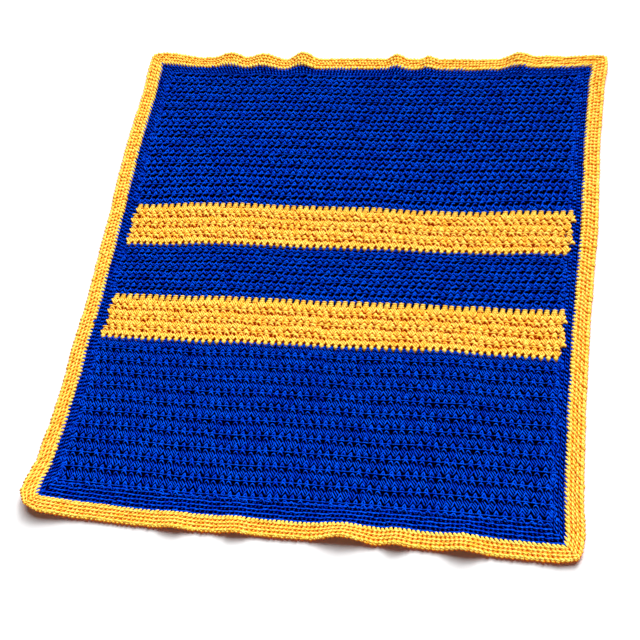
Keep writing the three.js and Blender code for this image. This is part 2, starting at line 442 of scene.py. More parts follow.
# The front of a stitch: strands that lean one way, and one that crosses their feet the other way.
FRONT_STRANDS = (
    ((-0.55, 0.48, 5.3, 1.2), (-0.36, 0.33, 6.5, 1.5), (-0.17, 0.17, 7.0, 1.65), (0.02, 0.07, 6.0, 1.2)),
    ((-0.32, 0.55, 5.0, 1.1), (-0.13, 0.41, 6.1, 1.4), (0.06, 0.28, 5.9, 1.35), (0.18, 0.20, 5.2, 1.0)),
    ((-0.06, 0.58, 5.3, 1.1), (0.12, 0.46, 6.4, 1.4), (0.28, 0.35, 5.9, 1.3), (0.35, 0.30, 5.2, 1.0)),
    ((0.52, 0.45, 5.3, 1.2), (0.38, 0.28, 6.5, 1.5), (0.22, 0.13, 6.8, 1.65), (0.05, 0.05, 5.4, 1.1)),
)

# The back of a stitch above it: an arch between two holes, and the bar that runs across above the arches.
BACK_STRANDS = (
    (
        (-0.27, 0.58, 5.0, 1.2), (-0.15, 0.71, 6.0, 1.6), (0.05, 0.775, 6.5, 1.7),
        (0.25, 0.69, 6.4, 1.7), (0.50, 0.51, 5.8, 1.3),
    ),
)
BAR_STRANDS = (
    ((-0.54, 0.86, 5.2, 1.2), (-0.10, 0.87, 6.2, 1.6), (0.44, 0.86, 5.4, 1.3)),
)

# The stitches of the upper blue panels are shorter and plainer: a front with an open hole above it, and a
# hook beside the hole.
FAR_FRONT_STRANDS = (
    ((-0.56, 0.54, 5.0, 1.4), (-0.36, 0.38, 6.4, 1.9), (-0.16, 0.21, 7.0, 2.0), (0.02, 0.11, 6.0, 1.5)),
    ((0.54, 0.52, 5.2, 1.5), (0.38, 0.34, 6.4, 1.9), (0.22, 0.18, 6.8, 2.0), (0.05, 0.09, 5.6, 1.4)),
    ((-0.20, 0.46, 4.6, 1.3), (0.00, 0.37, 6.0, 1.8), (0.16, 0.26, 5.8, 1.3)),
)
FAR_BACK_STRANDS = (
    ((-0.50, 0.54, 5.0, 1.6), (-0.34, 0.69, 6.2, 2.1), (-0.12, 0.75, 6.4, 2.1), (0.06, 0.69, 5.4, 1.4)),
)

# The peak between the feet of two stitches of the next row.
PEAK_STRANDS = (
    ((0.20, -0.12, 5.0, 1.2), (0.35, -0.03, 6.2, 2.1), (0.48, 0.17, 5.0, 1.1)),
    ((0.80, -0.12, 4.9, 1.2), (0.65, -0.03, 6.1, 2.1), (0.52, 0.16, 4.9, 1.1)),
)

# Where the yarn changes colour below a stripe: the feet of the first gold row as drops, and tall blue peaks.
DROP_STRANDS = (
    ((0.0, 0.14, 4.6, 2.0), (0.0, -0.02, 5.4, 3.1), (0.02, -0.16, 5.2, 2.4), (0.03, -0.33, 4.0, 0.7)),
)
TALL_PEAK_STRANDS = (
    ((0.26, -0.42, 3.6, 1.2), (0.39, -0.18, 4.8, 1.7), (0.49, 0.05, 4.4, 1.0)),
    ((0.75, -0.42, 3.4, 1.2), (0.62, -0.18, 4.6, 1.7), (0.51, 0.03, 4.2, 1.0)),
)

# Where the yarn changes colour above a stripe: flat gold tops, and blue strands that go down between them.
TOP_STRANDS = (
    ((-0.24, 0.875, 5.8, 1.2), (0.06, 0.885, 6.4, 1.4), (0.38, 0.875, 5.6, 1.2)),
    ((-0.29, 0.780, 4.6, 1.2), (0.03, 0.790, 5.4, 1.4), (0.34, 0.780, 4.6, 1.2)),
    ((-0.33, 0.690, 5.2, 1.2), (0.00, 0.700, 6.0, 1.4), (0.32, 0.690, 5.2, 1.2)),
    ((-0.42, 0.595, 4.6, 1.3), (-0.03, 0.605, 5.4, 1.4), (0.40, 0.595, 4.6, 1.3)),
)
NOTCH_STRANDS = (
    ((0.50, 1.06, 5.0, 1.4), (0.48, 0.86, 4.4, 1.3), (0.46, 0.60, 1.6, 0.7)),
    ((-0.56, 0.985, 4.2, 1.0), (-0.06, 1.0, 5.2, 1.2), (0.50, 0.985, 4.4, 1.0)),
)

# A fine stitch of the border: a link of the rope along the round, and the leg that holds it.
BORDER_STRANDS = (
    ((-0.60, 0.24, 4.6, 1.3), (-0.08, 0.40, 5.6, 1.9), (0.46, 0.24, 4.6, 1.3)),
    ((0.16, 1.04, 3.1, 2.1), (0.06, 0.74, 3.5, 2.4), (-0.04, 0.46, 3.6, 2.1)),
)

# A fine stitch of the near edging, packed more closely.
EDGING_STRANDS = (
    ((-0.66, 0.26, 4.4, 1.7), (-0.08, 0.38, 5.0, 2.0), (0.52, 0.26, 4.4, 1.7)),
    ((0.12, 1.02, 2.2, 2.1), (0.04, 0.74, 3.2, 2.7), (-0.04, 0.46, 3.4, 2.1)),
)

# The same on the other sides of the field, where the legs stand up as small beads.
SIDE_EDGING_STRANDS = (
    ((-0.60, 0.20, 3.6, 1.2), (-0.08, 0.34, 4.8, 1.8), (0.46, 0.20, 3.6, 1.2)),
    ((0.10, 0.98, 2.8, 1.9), (0.04, 0.74, 5.2, 2.8), (-0.04, 0.50, 4.4, 1.9)),
)

# The tooth that each stitch of the first gold round sends into the blue, and the rope along the outer edge.
TOOTH_STRANDS = (
    ((-0.34, -0.80, 3.6, 0.7), (-0.18, -0.30, 5.4, 2.0), (0.02, 0.20, 5.2, 2.1), (0.08, 0.50, 4.4, 1.2)),
)
ROPE_STRANDS = (
    ((-0.62, -0.68, 4.6, 1.3), (-0.02, -0.44, 4.0, 2.1), (0.60, -0.28, 3.2, 1.3)),
)

# These lie more evenly than the other stitches, which are as loose as 1.
LOOSE = {"bar": 0.15, "top": 0.35, "drop": 0.5, "notch": 0.4, "tall_peak": 0.5}


# Repeating the stitches


def add_node(tree, kind, settings=None, inputs=None):
    """A node with its settings, and with each input a constant or a link from another node's output."""
    node = tree.nodes.new(kind)
    for name, value in (settings or {}).items():
        setattr(node, name, value)
    for name, value in (inputs or {}).items():
        if isinstance(value, bpy.types.NodeSocket):
            tree.links.new(value, node.inputs[name])
        else:
            node.inputs[name].default_value = value
    return node


def math_node(tree, operation, first, second):
    """The result of one sum on two numbers."""
    return add_node(tree, "ShaderNodeMath", {"operation": operation}, {0: first, 1: second}).outputs[0]


def vector_sum(tree, first, second):
    """The sum of two vectors."""
    return add_node(tree, "ShaderNodeVectorMath", {"operation": "ADD"}, {0: first, 1: second}).outputs[0]


def stitch_rows_tree():
    """Rows of one stitch on a flat grid, every other row moved sideways, each stitch a little different."""
    tree = bpy.data.node_groups.new("stitch_rows", "GeometryNodeTree")
    for name, kind in (
        ("Stitch", "NodeSocketObject"),
        ("Columns", "NodeSocketInt"),
        ("Rows", "NodeSocketInt"),
        ("Pitch", "NodeSocketFloat"),
        ("Row Height", "NodeSocketFloat"),
        ("Stagger", "NodeSocketFloat"),
        ("Drift", "NodeSocketFloat"),
        ("Turn", "NodeSocketFloat"),
        ("Size Change", "NodeSocketFloat"),
        ("Seed", "NodeSocketInt"),
        ("Yarn", "NodeSocketMaterial"),
    ):
        tree.interface.new_socket(name, in_out="INPUT", socket_type=kind)
    tree.interface.new_socket("Stitches", in_out="OUTPUT", socket_type="NodeSocketGeometry")
    given = tree.nodes.new("NodeGroupInput").outputs
    width = math_node(tree, "MULTIPLY", math_node(tree, "SUBTRACT", given["Columns"], 1), given["Pitch"])
    height = math_node(tree, "MULTIPLY", math_node(tree, "SUBTRACT", given["Rows"], 1), given["Row Height"])
    grid = add_node(tree, "GeometryNodeMeshGrid", None, {
        "Size X": width, "Size Y": height, "Vertices X": given["Columns"], "Vertices Y": given["Rows"],
    })
    index = tree.nodes.new("GeometryNodeInputIndex").outputs[0]
    row = math_node(tree, "MODULO", index, given["Rows"])
    odd = math_node(tree, "SUBTRACT", math_node(tree, "MODULO", row, 2), 0.5)
    stagger = math_node(tree, "MULTIPLY", odd, given["Stagger"])
    sideways = math_node(tree, "MULTIPLY", stagger, given["Pitch"])
    drift = add_node(tree, "FunctionNodeRandomValue", {"data_type": "FLOAT_VECTOR"}, {
        "Seed": given["Seed"],
    })
    tree.links.new(math_node(tree, "MULTIPLY", given["Drift"], -1), drift.inputs["Min"])
    tree.links.new(given["Drift"], drift.inputs["Max"])
    half_height = math_node(tree, "MULTIPLY", height, 0.5)
    moved = add_node(tree, "ShaderNodeCombineXYZ", None, {"X": sideways, "Y": half_height})
    half_width = math_node(tree, "MULTIPLY", width, 0.5)
    half = add_node(tree, "ShaderNodeCombineXYZ", None, {"X": half_width})
    placed = vector_sum(tree, moved.outputs[0], half.outputs[0])
    shift = vector_sum(tree, placed, drift.outputs["Value"])
    points = add_node(tree, "GeometryNodeSetPosition", None, {
        "Geometry": grid.outputs["Mesh"], "Offset": shift,
    })
    turn = add_node(tree, "FunctionNodeRandomValue", {"data_type": "FLOAT"}, {"Seed": given["Seed"]})
    tree.links.new(math_node(tree, "MULTIPLY", given["Turn"], -1), turn.inputs[2])
    tree.links.new(given["Turn"], turn.inputs[3])
    turned = add_node(tree, "ShaderNodeCombineXYZ", None, {"Z": turn.outputs[1]})
    rotation = add_node(tree, "FunctionNodeEulerToRotation", None, {"Euler": turned.outputs[0]})
    seed = math_node(tree, "ADD", given["Seed"], 1)
    size = add_node(tree, "FunctionNodeRandomValue", {"data_type": "FLOAT"}, {"Seed": seed})
    tree.links.new(math_node(tree, "SUBTRACT", 1, given["Size Change"]), size.inputs[2])
    tree.links.new(math_node(tree, "ADD", 1, given["Size Change"]), size.inputs[3])
    source = add_node(tree, "GeometryNodeObjectInfo", {"transform_space": "ORIGINAL"}, {
        "Object": given["Stitch"],
    })
    copies = add_node(tree, "GeometryNodeInstanceOnPoints", None, {
        "Points": points.outputs[0], "Instance": source.outputs["Geometry"],
        "Rotation": rotation.outputs[0], "Scale": size.outputs[1],
    })
    tone_seed = math_node(tree, "ADD", given["Seed"], 2)
    tone = add_node(tree, "FunctionNodeRandomValue", {"data_type": "FLOAT"}, {"Seed": tone_seed})
    stored = add_node(
        tree, "GeometryNodeStoreNamedAttribute", {"data_type": "FLOAT", "domain": "INSTANCE"},
        {"Geometry": copies.outputs[0], "Name": "tone", "Value": tone.outputs[1]},
    )
    real = add_node(tree, "GeometryNodeRealizeInstances", None, {"Geometry": stored.outputs[0]})
    dyed = add_node(tree, "GeometryNodeSetMaterial", None, {
        "Geometry": real.outputs[0], "Material": given["Yarn"],
    })
    end = tree.nodes.new("NodeGroupOutput")
    tree.links.new(dyed.outputs[0], end.inputs["Stitches"])
    return tree


def repeat_stitch(tree, name, sizes):
    """The rows of one stitch as a plain flat mesh."""
    holder = bpy.data.objects.new(name, bpy.data.meshes.new(name + "_grid"))
    bpy.context.scene.collection.objects.link(holder)
    rows = holder.modifiers.new("rows", "NODES")
    rows.node_group = tree
    for item in tree.interface.items_tree:
        if item.in_out == "INPUT":
            rows[item.identifier] = sizes[item.name]
    depsgraph = bpy.context.evaluated_depsgraph_get()
    made = bpy.data.meshes.new_from_object(
        holder.evaluated_get(depsgraph), preserve_all_data_layers=True, depsgraph=depsgraph
    )
    bpy.data.objects.remove(holder)
    return made


def mesh_places(mesh):
    """The corners of a mesh as an array."""
    places = np.empty(len(mesh.vertices) * 3, np.float32)
    mesh.vertices.foreach_get("co", places)
    return places.reshape(-1, 3).astype(float)


def set_places(mesh, x, y, z):
    """Puts the corners of a mesh at these places, given in millimetres."""
    places = np.column_stack([x, y, z]) * METRES
    mesh.vertices.foreach_set("co", places.astype(np.float32).ravel())
    mesh.update()


def joined(name, meshes):
    """Several meshes as one, with their yarn coordinates and attributes."""
    whole = bmesh.new()
    for mesh in meshes:
        whole.from_mesh(mesh)
    result = bpy.data.meshes.new(name)
    whole.to_mesh(result)
    whole.free()
    for material in meshes[0].materials:
        result.materials.append(material)
    for mesh in meshes:
        bpy.data.meshes.remove(mesh)
    return result


def piece_of(name, mesh, node):
    """A finished piece of the blanket that stands for a part of it."""
    piece = bpy.data.objects.new(name, mesh)
    bpy.context.scene.collection.objects.link(piece)
    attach(piece, "root")
    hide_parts(node)
    return piece


# Panels


def ridge_starts(near, panel):
    """Where each ridge of a panel starts, and where the last one ends."""
    heights = np.linspace(1, panel["growth"], panel["ridges"])
    return near + np.concatenate([[0], np.cumsum(heights)]) * (panel["far"] - near) / heights.sum()


def stitch_tips():
    """How far up each row of stitch tips lies, from the near edging to one row past the far one."""
    tips = []
    near = FIELD_NEAR
    for panel in PANELS:
        tips += list(ridge_starts(near, panel)[:-1] + panel["tip"])
        near = panel["far"]
    return np.array(tips + [2 * tips[-1] - tips[-2]])


def lay_rows(mesh, first_row, pitch, start, end_rise):
    """Lays flat rows of stitches on the blanket, from a row of the field on and from a place across."""
    places = mesh_places(mesh)
    tips = stitch_tips()
    tips = np.concatenate([[2 * tips[0] - tips[1]], tips, [2 * tips[-1] - tips[-2]]])
    across = places[:, 0] * (pitch / PITCH) + start
    row = places[:, 1] / RIDGE + first_row
    up = np.interp(row, np.arange(len(tips)) - 1, tips)
    across, up = across + waver(WAVER_ACROSS, across, up), up + waver(WAVER_UP, across, up)
    x, y, lift = lay(across, up)
    over_edging = np.clip((np.abs(across) - PANEL_HALF) / EDGING_OVER_ENDS + 1, 0, 1)
    set_places(mesh, x, y, lift + places[:, 2] + end_rise * over_edging)
    return mesh


def ground_height(row):
    """Height of the ground cloth of a panel at a place within a ridge."""
    share = np.mod(row, 1.0)
    crest = np.clip(1 - np.abs(share - CREST_PLACE) / CREST_PLACE, 0, 1)
    eased = crest * crest * (3 - 2 * crest)
    return GROUND_GROOVE + (GROUND_CREST - GROUND_GROOVE) * eased


def closed_sheet(name, across, up, height):
    """A thin closed sheet from a grid of places: laid underneath, and raised by the height on top."""
    columns, rows = across.shape
    x, y, lift = lay(across.ravel(), up.ravel())
    top = np.column_stack([x, y, lift + height.ravel()])
    bottom = np.column_stack([x, y, lift])
    count = columns * rows
    at = np.arange(count).reshape(columns, rows)
    faces = []
    for column in range(columns - 1):
        for row in range(rows - 1):
            quad = (at[column, row], at[column + 1, row], at[column + 1, row + 1], at[column, row + 1])
            faces.append(quad)
            faces.append(tuple(corner + count for corner in reversed(quad)))
    rim = list(at[:, 0]) + list(at[-1, 1:]) + list(at[-2::-1, -1]) + list(at[0, -2:0:-1])
    for corner, after in zip(rim, rim[1:] + rim[:1]):
        faces.append((after, corner, corner + count, after + count))
    mesh = bpy.data.meshes.new(name)
    corners = (np.vstack([top, bottom]) * METRES).tolist()
    mesh.from_pydata(corners, [], [tuple(map(int, face)) for face in faces])
    mesh.shade_smooth()
    return mesh


def panel_ground(panel, near, yarns):
    """The ground cloth of a panel, ridged along its rows. The blue one reaches under the stripes."""
    rows = max(2, round((panel["far"] - near) / GROUND_STEP))
    if panel["yarn"] == "gold":
        start = near + GOLD_NEAR_INSET
        end = panel["far"] - GOLD_FAR_INSET
        inset = GOLD_INSET
    else:
        start = near - (GOLD_FAR_INSET if near > FIELD_NEAR else 0)
        end = panel["far"] + (GOLD_NEAR_INSET if panel is not PANELS[-1] else 0)
        inset = GROUND_GAP
    line_up = np.linspace(start + GROUND_GAP, end - GROUND_GAP, rows + 1)
    line_across = np.linspace(-PANEL_HALF + inset, PANEL_HALF - inset, GROUND_COLUMNS + 1)
    across, up = np.meshgrid(line_across, line_up, indexing="ij")
    tips = stitch_tips()
    row = np.interp(up, tips, np.arange(len(tips)))
    mesh = closed_sheet(panel["name"] + "_ground", across, up, ground_height(row))
    # The ground is painted dark, as the shade in the gaps between the strands.
    mesh.materials.append(yarns[panel["yarn"] + "_ground"])
    return mesh


def worked_rows(tree, piece, panel, first_row, rows, yarn, loose, seed):
    """Rows of one stitch, laid on the blanket from a row of the field on, and moved sideways in turn."""
    gold = panel["yarn"] == "gold"
    wide = 2 * PANEL_HALF + (STRIPE_OVERHANG if gold else 0)
    stagger = STRIPE_STAGGER if gold else ROW_STAGGER
    pitch = wide / (panel["across"] + stagger)
    made = repeat_stitch(tree, piece.name + "_rows", {
        "Stitch": piece, "Columns": panel["across"] + (0 if gold else 1), "Rows": rows, "Pitch": PITCH,
        "Row Height": RIDGE, "Stagger": stagger if first_row % 2 else -stagger, "Drift": ROW_DRIFT * loose,
        "Turn": ROW_TURN * loose, "Size Change": ROW_SIZE_CHANGE * loose, "Seed": seed, "Yarn": yarn,
    })
    start = -PANEL_HALF + pitch * (0.5 + stagger / 2 - (0 if gold else 0.5))
    return lay_rows(made, first_row, pitch, start, STRIPE_END_RISE if gold else 0)


def backs_of(number, first):
    """The rows behind the fronts of a panel: kind of stitch, first row, rows, and panel lined up with."""
    panel = PANELS[number]
    ridges = panel["ridges"]
    after_gold = number > 0
    if panel["yarn"] == "gold":
        return [
            ("back", first, ridges - 1, panel),
            ("peak", first + 1, ridges - 1, panel),
            ("bar", first, ridges - 1, panel),
        ]
    backs = [
        ("back", first, ridges, panel),
        ("peak", first + 1, ridges - 1, panel),
        ("bar", first, ridges, panel),
    ]
    if after_gold:
        backs += [("notch", first - 1, 1, PANELS[number - 1]), ("peak", first, 1, panel)]
    else:
        turned = (("back", first - 1), ("peak", first), ("bar", first - 1))
        backs += [(kind, row, 1, panel) for kind, row in turned]
    if panel is not PANELS[-1]:
        backs.append(("tall_peak", first + ridges, 1, PANELS[number + 1]))
    return backs


def make_panels(tree, stitches, yarns):
    """Every panel: its ground cloth, its front rows, and the back rows and peaks between them."""
    near = FIELD_NEAR
    first = 0
    for number, panel in enumerate(PANELS):
        ridges = panel["ridges"]
        node = panel["name"]
        fronts = [("front", first, ridges, panel)]
        if panel["yarn"] == "gold":
            fronts += [("drop", first, 1, panel), ("top", first + ridges - 1, 1, panel)]
        worked = {}
        for layer, kinds in (("fronts", fronts), ("backs", backs_of(number, first))):
            worked[layer] = [
                worked_rows(
                    tree, stitches[panel["stitches"]][kind], like, row, rows, yarns[panel["yarn"]],
                    LOOSE.get(kind, 1.0), PANEL_SEEDS * number + row % ROW_SEEDS,
                )
                for kind, row, rows, like in kinds
            ]
        ground = piece_of(node + "_ground", panel_ground(panel, near, yarns), node)
        layers = [
            piece_of(f"{node}_{layer}", joined(f"{node}_{layer}", meshes), node)
            for layer, meshes in worked.items()
        ]
        near = panel["far"]
        first += ridges


# Rounds of the edging and the border


def rectangle(near, side, far):
    """Corners of a rectangle inside the cloth by these insets, anticlockwise from near left."""
    half = WIDTH / 2 - side
    return np.array([(-half, near), (half, near), (half, LENGTH - far), (-half, LENGTH - far)], float)


def side_place(outer, inner, number, share, depth):
    """Places on one mitred side: share runs along it, and depth from the outer to the inner rectangle."""
    after = (number + 1) % 4
    start = outer[number] + (inner[number] - outer[number]) * depth[..., None]
    end = outer[after] + (inner[after] - outer[after]) * depth[..., None]
    place = start + (end - start) * share[..., None]
    across, up = place[..., 0], place[..., 1]
    for end_x, end_y, drawn in SOFT_CORNERS:
        in_x = np.abs(end_x * WIDTH / 2 - across)
        in_y = np.abs(end_y - up)
        soft = drawn * np.clip(1 - in_x / SOFT_REACH, 0, 1) * np.clip(1 - in_y / SOFT_REACH, 0, 1)
        across = across - end_x * soft
        up = up + (1 if end_y == 0 else -1) * soft
    return across, up


def lay_round(mesh, outer, inner, number, rounds, columns):
    """Lays flat rounds of stitches on one side, worked outwards and from its end back to its start."""
    places = mesh_places(mesh)
    share = 1 - (places[:, 0] / ROUND_PITCH + 0.5) / columns
    depth = 1 - places[:, 1] / ROUND_HEIGHT / rounds
    across, up = side_place(outer, inner, number, share, depth)
    x, y, lift = lay(across, up)
    set_places(mesh, x, y, lift + places[:, 2])
    return mesh


def round_ground(name, outer, inner, number, rim, tuck, yarn):
    """The ground cloth of one mitred side, lower along its outer rim, which is tucked under the stitches."""
    depths = np.array([tuck, *ROUND_LINES])
    heights = np.array([rim] + [GROUND_ROUNDS] * (len(ROUND_LINES) - 1) + [GROUND_HIDDEN])
    shares = np.linspace(MITRE_GAP, 1 - MITRE_GAP, ROUND_STEPS + 1)
    share, depth = np.meshgrid(1 - shares, depths[::-1], indexing="ij")
    height = np.broadcast_to(heights[::-1], share.shape)
    across, up = side_place(outer, inner, number, share, depth)
    mesh = closed_sheet(name, across, up, height)
    mesh.materials.append(yarn)
    return mesh


def worked_round_rows(tree, stitches, yarn, node, number, kind, rounds, columns):
    """Flat rows of one kind of fine stitch for one side. Teeth and rope are in line with one another."""
    stagger, drift = EDGING_LOOSE if kind == "edging" else ROUND_LOOSE
    return repeat_stitch(tree, f"{node}_{kind}", {
        "Stitch": stitches[kind], "Columns": columns, "Rows": rounds, "Pitch": ROUND_PITCH,
        "Row Height": ROUND_HEIGHT, "Stagger": 0.0 if kind in ("tooth", "rope") else stagger, "Drift": drift,
        "Turn": ROUND_TURN, "Size Change": ROUND_SIZE_CHANGE, "Yarn": yarn,
        "Seed": ROUND_SEED + SIDE_SEEDS * number,
    })


def make_rounds(tree, stitches, yarns, prefix, colour, outer, inner, worked_inner, rounds_of):
    """The four mitred sides of the edging or the border, whose stitches may reach over the next piece."""
    border = colour == "gold"
    for number, side in enumerate(SIDES):
        node = f"{prefix}_{side}"
        rounds = rounds_of[side]
        middle = (outer + inner) / 2
        long = float(np.linalg.norm(middle[(number + 1) % 4] - middle[number]))
        columns = round(long / WORKED_PITCH[side])
        kinds = [("border" if border else "edging" if side == "near" else "side_edging", rounds)]
        if border:
            kinds += [("tooth", 1), ("rope", 1)]
        made = [
            worked_round_rows(tree, stitches[colour], yarns[colour], node, number, kind, rows, columns)
            for kind, rows in kinds
        ]
        if border:
            rope = made[-1]
            places = mesh_places(rope)
            places[:, 1] += rounds * ROUND_HEIGHT
            rope.vertices.foreach_set("co", places.astype(np.float32).ravel())
        made = [lay_round(mesh, outer, worked_inner, number, rounds, columns) for mesh in made]
        stitches_piece = piece_of(node + "_stitches", joined(node + "_stitches", made), node)
        rim, tuck = (GROUND_RIM, GROUND_TUCK) if border else (GROUND_ROUNDS, EDGING_TUCK)
        # The ground of the rounds is painted darker, as the shade in the gaps between the stitches.
        yarn = yarns[colour + "_round_ground"]
        ground_mesh = round_ground(node + "_ground", outer, inner, number, rim, tuck, yarn)
        ground = piece_of(node + "_ground", ground_mesh, node)


# Yarn


def twist_group():
    """The spiral of plies along a strand, from its around and along coordinates."""
    group = bpy.data.node_groups.new("yarn_twist", "ShaderNodeTree")
    face = group.interface
    face.new_socket("Around and Along", in_out="INPUT", socket_type="NodeSocketVector")
    face.new_socket("Plies", in_out="INPUT", socket_type="NodeSocketFloat")
    face.new_socket("Turn Length", in_out="INPUT", socket_type="NodeSocketFloat")
    face.new_socket("Ply Height", in_out="OUTPUT", socket_type="NodeSocketFloat")
    given = group.nodes.new("NodeGroupInput").outputs
    parts = add_node(group, "ShaderNodeSeparateXYZ", None, {0: given["Around and Along"]}).outputs
    around = math_node(group, "MULTIPLY", parts["X"], given["Plies"])
    along = math_node(group, "DIVIDE", parts["Y"], given["Turn Length"])
    turns = math_node(group, "MULTIPLY", math_node(group, "ADD", around, along), math.tau)
    wave = math_node(group, "SINE", turns, 0)
    end = group.nodes.new("NodeGroupOutput")
    group.links.new(math_node(group, "MULTIPLY_ADD", wave, 0.5), end.inputs["Ply Height"])
    return group


def painted_light_and_tone_group():
    """How light the yarn is painted: painted light on the crests, painted shade lower in the cloth, and
    uneven.
    """
    group = bpy.data.node_groups.new("yarn_tone", "ShaderNodeTree")
    face = group.interface
    face.new_socket("Patch Size", in_out="INPUT", socket_type="NodeSocketFloat")
    face.new_socket("Low", in_out="INPUT", socket_type="NodeSocketFloat")
    face.new_socket("High", in_out="INPUT", socket_type="NodeSocketFloat")
    face.new_socket("Crest", in_out="OUTPUT", socket_type="NodeSocketFloat")
    face.new_socket("Uneven", in_out="OUTPUT", socket_type="NodeSocketFloat")
    given = group.nodes.new("NodeGroupInput").outputs
    # Painted light: full on the crests and the tops of the strands, painted shade lower and on their sides.
    rise = add_node(group, "ShaderNodeAttribute", {"attribute_name": "rise"}).outputs["Fac"]
    crest = add_node(group, "ShaderNodeMapRange", {"interpolation_type": "SMOOTHSTEP"}, {
        "Value": rise, "From Min": given["Low"], "From Max": given["High"], "To Min": 0.0, "To Max": 1.0,
    })
    tone = add_node(group, "ShaderNodeAttribute", {"attribute_name": "tone"}).outputs["Fac"]
    where = group.nodes.new("ShaderNodeTexCoord").outputs["Object"]
    patches = add_node(group, "ShaderNodeTexNoise", None, {
        "Vector": where, "Scale": given["Patch Size"], "Detail": PATCH_DETAIL, "Roughness": PATCH_ROUGHNESS,
    })
    mixed = math_node(group, "ADD", math_node(group, "MULTIPLY", tone, STITCH_TONE), patches.outputs[0])
    end = group.nodes.new("NodeGroupOutput")
    group.links.new(crest.outputs[0], end.inputs["Crest"])
    group.links.new(math_node(group, "SUBTRACT", mixed, STITCH_TONE / 2), end.inputs["Uneven"])
    return group


def yarn_material(name, groups, painted_shade, pale, light, low, high, gloss, painted_glow):
    """Twisted yarn whose colour runs from painted shade low in the cloth to pale on the crests, uneven by
    stitch.

    painted_shade is the colour of that shade, light the colour of painted highlights on the lightest crests,
    and painted_glow the colour of a glow painted over the yarn, which lifts it where it lies in shade.
    """
    material = bpy.data.materials.new(name)
    material.use_nodes = True
    tree = material.node_tree
    shader = tree.nodes["Principled BSDF"]
    tone = add_node(tree, "ShaderNodeGroup", {"node_tree": groups["tone"]}, {
        "Patch Size": PATCHES_PER_METRE, "Low": low, "High": high,
    })
    # Painted shade low in the cloth and on the sides of the strands, running to the pale colour on the
    # crests.
    body = add_node(tree, "ShaderNodeMix", {"data_type": "RGBA"}, {
        0: tone.outputs["Crest"], 6: (*painted_shade, 1.0), 7: (*pale, 1.0),
    })
    # A painted highlight in the light colour, on uneven patches of the lightest crests.
    highlight_patches = add_node(tree, "ShaderNodeMapRange", None, {
        "Value": tone.outputs["Uneven"], "From Min": HIGHLIGHT_FROM, "From Max": HIGHLIGHT_TO,
        "To Min": 0.0, "To Max": 1.0,
    })
    crest = math_node(tree, "POWER", tone.outputs["Crest"], HIGHLIGHT_POWER)
    painted_highlight = math_node(tree, "MULTIPLY", highlight_patches.outputs[0], crest)
    colour = add_node(tree, "ShaderNodeMix", {"data_type": "RGBA"}, {
        0: painted_highlight, 6: body.outputs[2], 7: (*light, 1.0),
    })
    tree.links.new(colour.outputs[2], shader.inputs["Base Color"])
    yarn_way = add_node(tree, "ShaderNodeUVMap", {"uv_map": "UVMap"}).outputs[0]
    twist = add_node(tree, "ShaderNodeGroup", {"node_tree": groups["twist"]}, {
        "Around and Along": yarn_way, "Plies": PLIES, "Turn Length": PLY_TURN,
    })
    bump = add_node(tree, "ShaderNodeBump", None, {
        "Height": twist.outputs["Ply Height"], "Strength": PLY_RELIEF, "Distance": PLY_DEPTH,
    })
    tree.links.new(bump.outputs[0], shader.inputs["Normal"])
    shader.inputs["Roughness"].default_value = YARN_ROUGHNESS
    shader.inputs["Specular IOR Level"].default_value = gloss
    # A faint painted glow over the yarn, which lifts its shaded parts.
    shader.inputs["Emission Color"].default_value = (*painted_glow, 1.0)
    shader.inputs["Emission Strength"].default_value = PAINTED_GLOW_STRENGTH
    return material


def painted_shade_ground_material(name, colour, dark):
    """The yarn low in the cloth, seen only in the gaps between the strands, its colours painted dark as
    shade.
    """
    material = bpy.data.materials.new(name)
    material.use_nodes = True
    tree = material.node_tree
    shader = tree.nodes["Principled BSDF"]
    where = tree.nodes.new("ShaderNodeTexCoord").outputs["Object"]
    fibres = add_node(tree, "ShaderNodeTexNoise", None, {
        "Vector": where, "Scale": FIBRES_PER_METRE, "Detail": FIBRE_DETAIL,
    })
    mixed = add_node(tree, "ShaderNodeMix", {"data_type": "RGBA"}, {
        0: fibres.outputs[0], 6: (*dark, 1.0), 7: (*colour, 1.0),
    })
    tree.links.new(mixed.outputs[2], shader.inputs["Base Color"])
    bump = add_node(tree, "ShaderNodeBump", None, {
        "Height": fibres.outputs[0], "Strength": FIBRE_RELIEF, "Distance": FIBRE_DEPTH,
    })
    tree.links.new(bump.outputs[0], shader.inputs["Normal"])
    shader.inputs["Roughness"].default_value = GROUND_ROUGHNESS
    shader.inputs["Specular IOR Level"].default_value = 0.0
    return material


def make_yarns():
    """The blue and gold yarns, and the ground under each, painted darker as the shade in its gaps."""
    groups = {"twist": twist_group(), "tone": painted_light_and_tone_group()}
    yarns = {
        colour: yarn_material(colour + "_yarn", groups, **look) for colour, look in YARN_LOOKS.items()
    }
    for name, (colour, dark) in PAINTED_SHADE_GROUND_LOOKS.items():
        yarns[name] = painted_shade_ground_material(name, colour, dark)
    return yarns


# Floor, light and camera


def make_floor():
    """A plain pale floor under the blanket."""
    mesh = bpy.data.meshes.new("floor")
    half = FLOOR_HALF
    corners = [(-half, -half, 0), (half, -half, 0), (half, half, 0), (-half, half, 0)]
    mesh.from_pydata(corners, [], [(0, 1, 2, 3)])
    material = bpy.data.materials.new("pale_floor")
    material.use_nodes = True
    shader = material.node_tree.nodes["Principled BSDF"]
    shader.inputs["Base Color"].default_value = (*FLOOR_COLOUR, 1.0)
    shader.inputs["Roughness"].default_value = FLOOR_ROUGHNESS
    shader.inputs["Specular IOR Level"].default_value = FLOOR_GLOSS
    mesh.materials.append(material)
    floor = bpy.data.objects.new("floor", mesh)
    floor.location.z = -FLOOR_DROP
    bpy.context.scene.collection.objects.link(floor)


